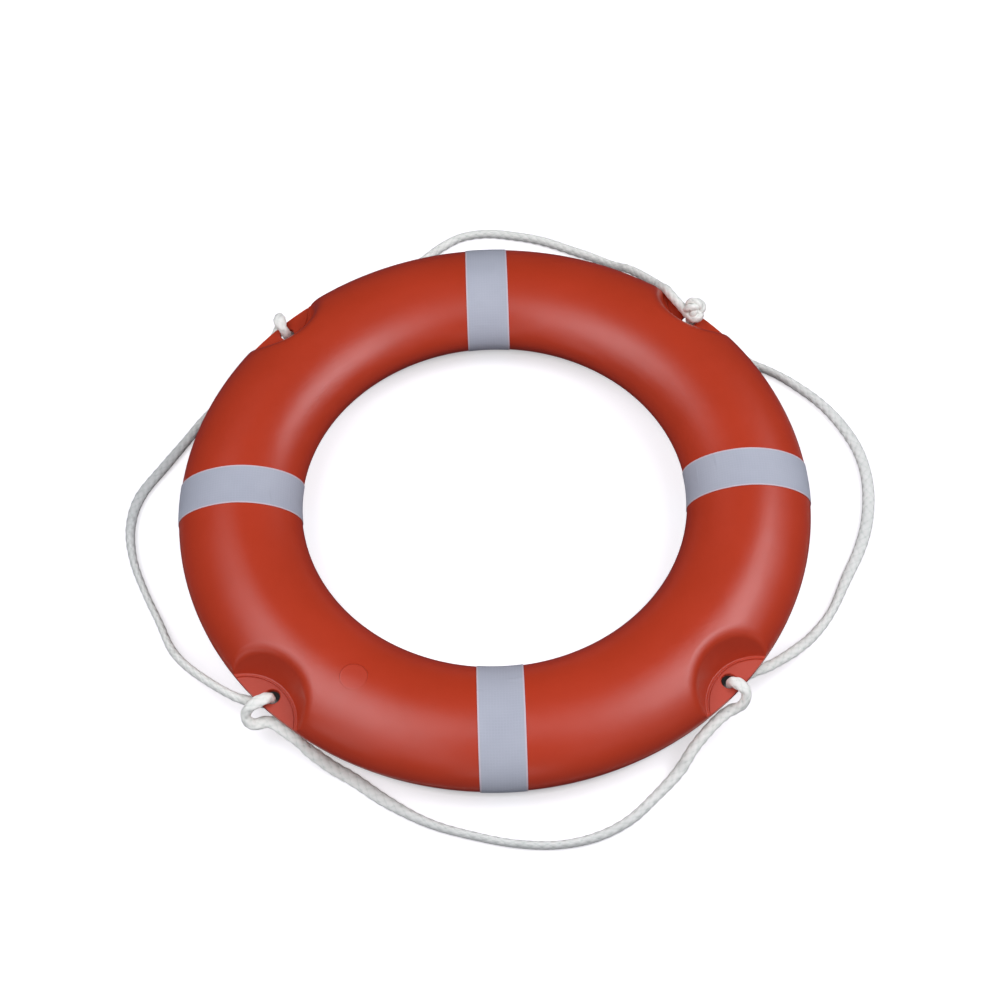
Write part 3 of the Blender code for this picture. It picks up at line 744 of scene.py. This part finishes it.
def rope_material():
    """White rope of fine filaments: soft sheen, uneven tone, painted shade in its creases and on
    greyer stretches.
    """
    made, tree, shader = new_material("white_rope")
    here = place(tree)
    soil = noise(tree, here, 60.0, 4.0, 0.6)
    shade = ramp(tree, soil, ((0.3, colour(233, 237, 228)), (0.7, colour(245, 248, 239))))
    ragged = math_node(tree, "MULTIPLY_ADD", noise(tree, here, 260.0, 4.0, 0.65), 1.1, -0.5)
    height = math_node(tree, "ADD", attribute(tree, "lay"), ragged)
    # Painted shade: the rope is greyed where its strands dip, in the braid's creases
    creases = ((0.0, colour(198, 202, 203)), (0.4, colour(240, 243, 241)), (0.8, WHITE))
    shade = mixed(tree, 1.0, shade, ramp(tree, height, creases), "MULTIPLY")
    # Painted shade: the greyer stretches are multiplied towards a cool grey
    shade = mixed(tree, attribute(tree, "painted_shade"), shade, (0.6, 0.615, 0.65, 1), "MULTIPLY")
    tree.links.new(shade, shader.inputs["Base Color"])
    shader.inputs["Roughness"].default_value = 0.75
    shader.inputs["Sheen Weight"].default_value = 0.3
    shader.inputs["Sheen Roughness"].default_value = 0.5
    fibres = noise(tree, stretched(tree, place(tree, "UV"), (46.0, 7.0, 1.0)), 1.0, 3.0, 0.6)
    first = bump(tree, shader, fibres, 0.5, 0.0006)
    bump(tree, shader, noise(tree, here, 1500.0, 2.0, 0.6), 0.3, 0.0005, first)
    return made


FOAM = foam_material()
TAPE = tape_material()
ROPE = rope_material()

# Grab line: one braided rope from the knotted lug's hole round the ring and back


BACK_RIGHT, BACK_LEFT, FRONT_LEFT, FRONT_RIGHT = range(4)
route = (
    [lug_point(BACK_RIGHT, *p) for p in KNOT_DEPARTURE]
    + [loop_point(*p) for p in LOOP_RIGHT]
    + [lug_point(FRONT_RIGHT, *p) for p in HITCH_FRONT_RIGHT]
    + [loop_point(*p) for p in LOOP_FRONT]
    + [lug_point(FRONT_LEFT, *p) for p in HITCH_FRONT_LEFT]
    + [loop_point(*p) for p in LOOP_LEFT]
    + [lug_point(BACK_LEFT, *p) for p in HITCH_BACK_LEFT]
    + [loop_point(*p) for p in LOOP_BACK]
    + [lug_point(BACK_RIGHT, *p) for p in KNOT_ARRIVAL]
)
# The soft rope's breadth in millimetres at each of those points
breadths = [
    *[11] * len(KNOT_DEPARTURE),
    # Right loop and front-right hitch
    *(10.5, 10.5, 10.5, 9, 11, 12.2, 14, 14, 14, 14, 13.5, 12.7, 10, 11.3, 12, 11),
    *(12.2, 12.2, 12.6, 13.4),
    *[14] * (len(HITCH_FRONT_RIGHT) - 8),
    *(13.6, 13, 12.6, 12.2),
    # Front loop and front-left hitch
    *(12.2, 13, 11.4, 10.8, 9.8, 8.2, 8.4, 8.6, 9.6, 13, 15, 15.4, 15),
    *(15, 14.6, 14.2),
    *[13.8] * (len(HITCH_FRONT_LEFT) - 6),
    *(12.6, 11, 9.6),
    # Left loop and back-left hitch
    *(9, 9, 8.2, 8.2, 9.4, 11, 13, 13, 11.8, 10.4, 10.4, 10.6),
    *(12.4, 12.4, 13, 14),
    *[15.2] * (len(HITCH_BACK_LEFT) - 8),
    *(14, 13, 12.4, 12.4),
    # Back loop
    *(11, 11, 11, 11, 11, 11, 11.4, 10.2, 10, 10, 10, 10.4, 9.2, 9.8),
    *[11] * len(KNOT_ARRIVAL),
]
# How much painted shade greys it there, from 0 to 1
painted_shade_share = [
    *[0] * len(KNOT_DEPARTURE),
    # Right loop
    *(0.1, 0.1, 0.1, 0.2, 0.3, 0.35, 0.35, 0.35, 0.35, 0.35, 0.35, 0.3, 0.2, 0.1, 0.1, 0),
    *[0] * len(HITCH_FRONT_RIGHT),
    # Front loop
    *(0.1, 0.2, 0.3, 0.4, 0.4, 0.4, 0.4, 0.4, 0.4, 0.3, 0.1, 0, 0),
    *[0] * len(HITCH_FRONT_LEFT),
    # Left loop
    *(0, 0.05, 0.15, 0.3, 0.5, 0.7, 0.8, 0.8, 0.5, 0.25, 0.1, 0),
    *[0] * (len(HITCH_BACK_LEFT) + len(LOOP_BACK) + len(KNOT_ARRIVAL)),
]
CURVE_PARTS = 16
ROPE_STEP = 0.0011
EASINGS = 14
places = np.arange((len(route) - 1) * CURVE_PARTS + 1) / CURVE_PARTS
dense_breadths = np.interp(places, np.arange(len(route)), np.array(breadths) * MM)
dense_painted_shade = np.interp(places, np.arange(len(route)), painted_shade_share)
curve = smooth_curve(route, CURVE_PARTS)
line, lengths, breadth = evenly(curve, ROPE_STEP, dense_breadths)
painted_shade = evenly(curve, ROPE_STEP, dense_painted_shade)[2]
line = eased(line, EASINGS)
rope = link(
    "grab_line",
    rope_mesh("grab_line", line, lengths, ROPE_RADIUS, breadth=breadth, painted_shade=painted_shade),
    ROPE,
)
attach(rope, "root")
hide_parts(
    "grab_line_loop_right",
    "grab_line_hitch_front_right",
    "grab_line_loop_front",
    "grab_line_hitch_front_left",
    "grab_line_loop_left",
    "grab_line_hitch_back_left",
    "grab_line_loop_back",
)

# The double overhand knot, its strands pressed into each other


def knot_line(count):
    """The double overhand knot's closed middle line, as the model has it."""
    t = np.arange(count) * math.tau / count
    out = KNOT_MEAN + KNOT_WAVE * np.cos(KNOT_LOBES * t)
    turn = KNOT_WINDINGS * t
    rise = -KNOT_HEIGHT * np.sin(KNOT_LOBES * t)
    path = np.column_stack([out * np.cos(turn), out * np.sin(turn), rise])
    placing = Matrix.Rotation(KNOT_TILT[2], 3, "Z") @ Matrix.Rotation(KNOT_TILT[1], 3, "Y")
    placing = np.array(placing @ Matrix.Rotation(KNOT_TILT[0], 3, "X"))
    path = path @ placing.T * (KNOT_RADIUS - KNOT_STRAND_RADIUS)
    path = path + np.array(lug_point(BACK_RIGHT, *KNOT_CENTRE))
    steps = np.linalg.norm(np.roll(path, -1, axis=0) - path, axis=1)
    return path, np.concatenate([[0], np.cumsum(steps)[:-1]])


KNOT_STEPS = 260
KNOT_SWELL = 0.01
knot_path, knot_lengths = knot_line(KNOT_STEPS)
knot = link(
    "grab_line_knot",
    rope_mesh(
        "grab_line_knot", knot_path, knot_lengths, KNOT_STRAND_RADIUS, closed=True, swell=KNOT_SWELL
    ),
    ROPE,
)
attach(knot, "root")
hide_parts("grab_line_knot_back_right")

# Shell: the turned section with its pockets, as fine as the eye sees it


SECTION_STEPS = 96
RING_STEPS = 240
SHARP = math.radians(32)
MERGE_REACH = 1e-7
HALVINGS = 30


def power(value):
    """The superellipse's share for a sine or cosine, with its sign."""
    return math.copysign(abs(value) ** (2 / SECTION_POWER), value)


def section_point(turn, outset=0.0):
    """A point of the section as (radius, height), moved outwards by the outset."""
    x, y = math.cos(turn), math.sin(turn)
    point = Vector((HALF_WIDTH * power(x), HALF_HEIGHT * power(y)))
    q = SECTION_POWER - 1
    away = Vector(
        (
            math.copysign((abs(point.x) / HALF_WIDTH) ** q / HALF_WIDTH, point.x),
            math.copysign((abs(point.y) / HALF_HEIGHT) ** q / HALF_HEIGHT, point.y),
        )
    ).normalized()
    return Vector((MIDDLE_RADIUS, 0)) + point + away * outset


def surface_height(radius, outset=0.0):
    """Height of the ring's upper surface over the mid-plane at a distance from its axis."""
    if outset:
        x = abs(radius - MIDDLE_RADIUS)
        low, high = 0.0, math.pi / 2
        if x >= HALF_WIDTH + outset:
            return 0.0
        for _ in range(HALVINGS):
            middle = (low + high) / 2
            if section_point(middle, outset).x - MIDDLE_RADIUS > x:
                low = middle
            else:
                high = middle
        return section_point(low, outset).y
    share = abs(radius - MIDDLE_RADIUS) / HALF_WIDTH
    if share >= 1:
        return 0.0
    return HALF_HEIGHT * (1 - share**SECTION_POWER) ** (1 / SECTION_POWER)


def finish_mesh(bm, name):
    """The bmesh as a smooth mesh with sharp edges, its faces outwards and doubles merged."""
    bmesh.ops.remove_doubles(bm, verts=bm.verts, dist=MERGE_REACH)
    bmesh.ops.recalc_face_normals(bm, faces=bm.faces)
    if bm.calc_volume(signed=True) < 0:
        bmesh.ops.reverse_faces(bm, faces=bm.faces)
    mesh = bpy.data.meshes.new(name)
    bm.to_mesh(mesh)
    bm.free()
    mesh.shade_smooth()
    mesh.set_sharp_from_angle(angle=SHARP)
    return mesh


def turned_mesh(name, points, steps, closed=False):
    """A profile of radius and height, turned about the vertical axis."""
    bm = bmesh.new()
    verts = [bm.verts.new((r, 0, z)) for r, z in points]
    first = 0 if closed else 1
    edges = [bm.edges.new((verts[k - 1], verts[k])) for k in range(first, len(verts))]
    bmesh.ops.spin(
        bm,
        geom=verts + edges,
        cent=(0, 0, 0),
        axis=(0, 0, 1),
        angle=math.tau,
        steps=steps,
        use_merge=True,
    )
    return finish_mesh(bm, name)


FOOT_ROUND = 0.0018
RIM_REACH = 0.011
RIM_FALL = 0.009
LEDGE_WIDTH = 0.0022
LEDGE_RISE = 0.0006
GROOVE_WIDTH = 0.0014
GROOVE_DEPTH = 0.0008
OVERSHOOT = 0.00008
# The least that keeps points of a profile apart, and how far the rim's corner may stray
APART = 0.0002
CORNER_LEAST = 0.0005
CORNER_MOST = 0.003
PROBE = 0.001
WALL_HALVINGS = 40
RIM_STEPS = 14
COVE_STEPS = 7


def wall_distance(height):
    """Distance of a pocket's wall from the pocket's axis."""
    return POCKET_RADIUS + math.tan(POCKET_DRAFT) * (height - WALL)


def height_along(distance, turn, outset):
    """Height of the ring's surface at a distance and direction from a pocket's axis."""
    u = POCKET_AXIS - distance * math.cos(turn)
    v = distance * math.sin(turn)
    return surface_height(math.hypot(u, v), outset)


def rounded(before, corner, after, radius, steps):
    """Points of the arc that rounds a corner between two others."""
    to_before = (before - corner).normalized()
    to_after = (after - corner).normalized()
    half = to_before.angle(to_after) / 2
    middle = corner + (to_before + to_after).normalized() * radius / math.sin(half)
    start = corner + to_before * radius / math.tan(half) - middle
    end = corner + to_after * radius / math.tan(half) - middle
    sweep = start.angle_signed(end)
    points = []
    for k in range(steps + 1):
        turn = -sweep * k / steps
        cos, sin = math.cos(turn), math.sin(turn)
        x, y = cos * start.x - sin * start.y, sin * start.x + cos * start.y
        points.append(middle + Vector((x, y)))
    return points


def pocket_column(turn):
    """A pocket's profile in one direction from its axis: groove, ledge, cove, wall and rounding."""
    foot = WALL + LEDGE_RISE
    low, high = foot, ABOVE_ALL
    for _ in range(WALL_HALVINGS):
        middle = (low + high) / 2
        if height_along(wall_distance(middle), turn, OVERSHOOT) > middle:
            low = middle
        else:
            high = middle
    bottom = Vector((wall_distance(foot), foot))
    upwards = Vector((math.sin(POCKET_DRAFT), math.cos(POCKET_DRAFT)))
    wall_length = (low - foot) / upwards.y
    beyond = wall_distance(low) + RIM_REACH
    outer = Vector((beyond, height_along(beyond, turn, OVERSHOOT)))
    before = height_along(beyond - PROBE, turn, OVERSHOOT)
    along = Vector((PROBE, max(outer.y - before, 0.0))).normalized()
    first = max(wall_length - RIM_FALL, 0.6 * FOOT_ROUND)
    offset = outer - bottom
    meeting = offset.x * along.y - offset.y * along.x
    meeting /= upwards.x * along.y - upwards.y * along.x
    meeting = min(max(meeting, first + CORNER_LEAST), wall_length + CORNER_MOST)
    start = bottom + upwards * first
    corner = bottom + upwards * max(meeting, first + CORNER_LEAST)
    outer.y = max(outer.y, corner.y + APART)
    rim = []
    for k in range(RIM_STEPS + 1):
        share = k / RIM_STEPS
        rim.append(start.lerp(corner, share).lerp(corner.lerp(outer, share), share))
    inner = Vector((bottom.x - FOOT_ROUND, foot))
    cove = rounded(inner, bottom, start, 0.8 * FOOT_ROUND, COVE_STEPS)
    step = cove[0].x - LEDGE_WIDTH
    ledge = [
        Vector((step - GROOVE_WIDTH, WALL)),
        Vector((step - 0.75 * GROOVE_WIDTH, WALL - GROOVE_DEPTH)),
        Vector((step - 0.1 * GROOVE_WIDTH, WALL - GROOVE_DEPTH)),
        Vector((step + 0.3 * LEDGE_RISE, foot - 0.1 * LEDGE_RISE)),
        Vector((step + 0.6 * LEDGE_RISE, foot)),
        Vector((step + 0.6 * LEDGE_RISE + APART, foot)),
        Vector((cove[0].x - APART, foot)),
    ]
    return ledge + cove + rim + [Vector((outer.x, ABOVE_ALL))]


POCKET_STEPS = 60
OUTSIDE_STEPS = 9
WITHIN_RING = 0.99


def pockets_mesh(side):
    """What the four pockets on one side of the flanges take away."""
    widest = wall_distance(WALL + LEDGE_RISE) + RIM_REACH
    cosine = (POCKET_AXIS**2 + widest**2 - OUTER_RADIUS**2) / (2 * POCKET_AXIS * widest)
    last = WITHIN_RING * math.acos(cosine)
    turns = [last * (2 * k / POCKET_STEPS - 1) for k in range(POCKET_STEPS + 1)]
    columns = [pocket_column(turn) for turn in turns]
    # Beyond the ring the end columns only close the solid
    for k in range(1, OUTSIDE_STEPS):
        turns.append(last + (math.tau - 2 * last) * k / OUTSIDE_STEPS)
        columns.append(columns[POCKET_STEPS] if k * 2 < OUTSIDE_STEPS else columns[0])
    bm = bmesh.new()
    for angle in LUG_ANGLES:
        grid = []
        for turn, column in zip(turns, columns):
            made = []
            for point in column:
                u = POCKET_AXIS - point.x * math.cos(turn)
                v = point.x * math.sin(turn)
                x = u * math.cos(angle) - v * math.sin(angle)
                y = u * math.sin(angle) + v * math.cos(angle)
                made.append(bm.verts.new((x, y, MID_Z + side * point.y)))
            grid.append(made)
        for a, b in zip(grid, grid[1:] + grid[:1]):
            for k in range(len(a) - 1):
                bm.faces.new((a[k], a[k + 1], b[k + 1], b[k]))
        bm.faces.new([row[0] for row in grid])
        bm.faces.new([row[-1] for row in reversed(grid)])
    return finish_mesh(bm, f"pockets_{side}")


def cut(target, other):
    """A boolean that takes one object away from another."""
    modifier = target.modifiers.new(other.name, "BOOLEAN")
    modifier.operation = "DIFFERENCE"
    modifier.solver = "EXACT"
    modifier.object = other


section = [section_point(math.tau * k / SECTION_STEPS) for k in range(SECTION_STEPS)]
outline = [(p.x, MID_Z + p.y) for p in section]
shell = link("shell_visual", turned_mesh("shell_visual", outline, RING_STEPS, closed=True), ORANGE)
helpers = [link("pockets_above", pockets_mesh(1)), link("pockets_below", pockets_mesh(-1))]
# A line hole's edge: how much wider than the hole, and how high over the flange's face
HOLE_EDGE = ((0.002, 0.001), (0.0004, -0.0004), (0, -0.001))
HOLE_STEPS = 48
upper = [(LINE_HOLE_RADIUS + wider, WALL + above) for wider, above in HOLE_EDGE]
upper = [(0, WALL + HOLE_EDGE[0][1]), *upper]
hole_profile = [(radius, -height) for radius, height in upper] + upper[::-1]
for k, angle in enumerate(LUG_ANGLES):
    helper = link(f"line_hole_{k}", turned_mesh(f"line_hole_{k}", hole_profile, HOLE_STEPS))
    helper.location = (LINE_HOLE_AT * math.cos(angle), LINE_HOLE_AT * math.sin(angle), MID_Z)
    helpers.append(helper)
PLUG_STEPS = 72
plug_place = (MIDDLE_RADIUS * math.cos(PLUG_ANGLE), MIDDLE_RADIUS * math.sin(PLUG_ANGLE), MID_Z)
seat_floor = HALF_HEIGHT - SEAT_DEPTH
seat_radius = PLUG_RADIUS + SEAT_ROOM
seat_profile = [(0, seat_floor), (seat_radius, seat_floor)]
seat_profile += [(seat_radius, ABOVE_ALL), (0, ABOVE_ALL)]
seat = link("plug_seat", turned_mesh("plug_seat", seat_profile, PLUG_STEPS))
seat.location = plug_place
helpers.append(seat)
for helper in helpers:
    cut(shell, helper)
bpy.context.view_layer.update()
graph = bpy.context.evaluated_depsgraph_get()
shell_mesh = bpy.data.meshes.new_from_object(shell.evaluated_get(graph))
shell.modifiers.clear()
shell.data = shell_mesh
# The cuts leave a few points that are almost on top of each other
ALMOST = 2e-6
cleaned = bmesh.new()
cleaned.from_mesh(shell_mesh)
bmesh.ops.remove_doubles(cleaned, verts=cleaned.verts, dist=ALMOST)
bmesh.ops.dissolve_degenerate(cleaned, dist=ALMOST, edges=cleaned.edges)
cleaned.to_mesh(shell_mesh)
cleaned.free()
shell_mesh.set_sharp_from_angle(angle=SHARP)
# The front flanges' level faces are more matt, and paler with a painted sheen
LEVEL_MISS = 0.0002
UPRIGHT = 0.99
shell_mesh.materials.append(ORANGE_FLANGE_PAINTED_SHEEN)
for face in shell_mesh.polygons:
    level = abs(abs(face.center.z - MID_Z) - WALL) < LEVEL_MISS and abs(face.normal.z) > UPRIGHT
    if level and face.center.y < 0:
        face.material_index = len(shell_mesh.materials) - 1
for helper in helpers:
    bpy.data.objects.remove(helper, do_unlink=True)
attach(shell, "root")
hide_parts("shell")

# Plug: a disc with a rounded edge, its top in line with the ring's surface


# Share of the radius, and how far the top lies under the ring's surface there
PLUG_PROFILE = (
    (0.15, 0.0003),
    (0.4, 0.0003),
    (0.62, 0.0003),
    (0.8, 0.00025),
    (0.9, 0.0002),
    (0.97, 0.0002),
    (0.988, 0.00026),
    (0.997, 0.0004),
    (1.0, 0.0007),
)
PLUG_GAP = 0.0002


def plug_mesh():
    """The plug about its own axis: its top follows the ring, its foot is flat."""
    bm = bmesh.new()
    rows = []
    for share, drop in PLUG_PROFILE:
        row = []
        for k in range(PLUG_STEPS):
            turn = math.tau * k / PLUG_STEPS
            x = plug_place[0] + share * PLUG_RADIUS * math.cos(turn)
            y = plug_place[1] + share * PLUG_RADIUS * math.sin(turn)
            height = surface_height(math.hypot(x, y)) - drop
            row.append(bm.verts.new((x - plug_place[0], y - plug_place[1], height)))
        rows.append(row)
    rows.append([bm.verts.new((v.co.x, v.co.y, seat_floor + PLUG_GAP)) for v in rows[-1]])
    top = bm.verts.new((0, 0, surface_height(MIDDLE_RADIUS) - PLUG_PROFILE[0][1]))
    for k in range(PLUG_STEPS):
        bm.faces.new((top, rows[0][k - 1], rows[0][k]))
        for a, b in zip(rows, rows[1:]):
            bm.faces.new((a[k - 1], b[k - 1], b[k], a[k]))
    bm.faces.new(rows[-1][::-1])
    return finish_mesh(bm, "foam_fill_plug_visual")


plug = link("foam_fill_plug_visual", plug_mesh(), ORANGE_PLUG)
plug.location = plug_place
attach(plug, "root")
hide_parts("foam_fill_plug")

# Bands: each a closed sleeve of tape between two straight edges


BAND_STEPS = 120
BAND_STRIPS = 14
BAND_SHARP = math.radians(40)


def band_mesh(name, angle):
    """A sleeve round the section, 50 mm wide, with coordinates across and along the tape."""
    around, wide = BAND_STEPS, BAND_STRIPS
    bm = bmesh.new()
    uv = bm.loops.layers.uv.new("tape")
    layers = []
    for outset in BAND_OUTSETS:
        rows = []
        for k in range(around):
            p = section_point(math.tau * k / around, outset)
            row = []
            for j in range(wide + 1):
                side = BAND_WIDTH * (j / wide - 0.5)
                out = math.sqrt(p.x**2 - side**2)
                x = out * math.cos(angle) - side * math.sin(angle)
                y = out * math.sin(angle) + side * math.cos(angle)
                row.append(bm.verts.new((x, y, MID_Z + p.y)))
            rows.append(row)
        layers.append(rows)
    girth = 0.0
    sums = [0.0]
    for k in range(around):
        a = section_point(math.tau * k / around)
        b = section_point(math.tau * (k + 1) / around)
        girth += (b - a).length
        sums.append(girth)
    for rows, flip in zip(layers, (False, True)):
        for k in range(around):
            a, b = rows[k], rows[(k + 1) % around]
            for j in range(wide):
                corners = [a[j], a[j + 1], b[j + 1], b[j]]
                values = [(j, k), (j + 1, k), (j + 1, k + 1), (j, k + 1)]
                if not flip:
                    corners, values = corners[::-1], values[::-1]
                face = bm.faces.new(corners)
                for loop, (across_tape, along_tape) in zip(face.loops, values):
                    loop[uv].uv = (BAND_WIDTH * (across_tape / wide - 0.5), sums[along_tape])
    outer, inner = layers
    for j in (0, wide):
        for k in range(around):
            m = (k + 1) % around
            face = bm.faces.new((outer[k][j], outer[m][j], inner[m][j], inner[k][j]))
            for loop in face.loops:
                loop[uv].uv = (BAND_WIDTH / 2, 0)
    bmesh.ops.recalc_face_normals(bm, faces=bm.faces)
    mesh = bpy.data.meshes.new(name)
    bm.to_mesh(mesh)
    bm.free()
    mesh.shade_smooth()
    mesh.set_sharp_from_angle(angle=BAND_SHARP)
    return mesh


for k, where in enumerate(("right", "back", "left", "front")):
    name = f"reflective_band_{where}"
    band = link(name + "_visual", band_mesh(name + "_visual", math.tau * k / 4), TAPE)
    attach(band, "root")
    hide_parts(name)

core = bpy.data.objects["foam_core"]
for held in core.material_slots:
    held.material = FOAM

scene.view_settings.view_transform = "Standard"
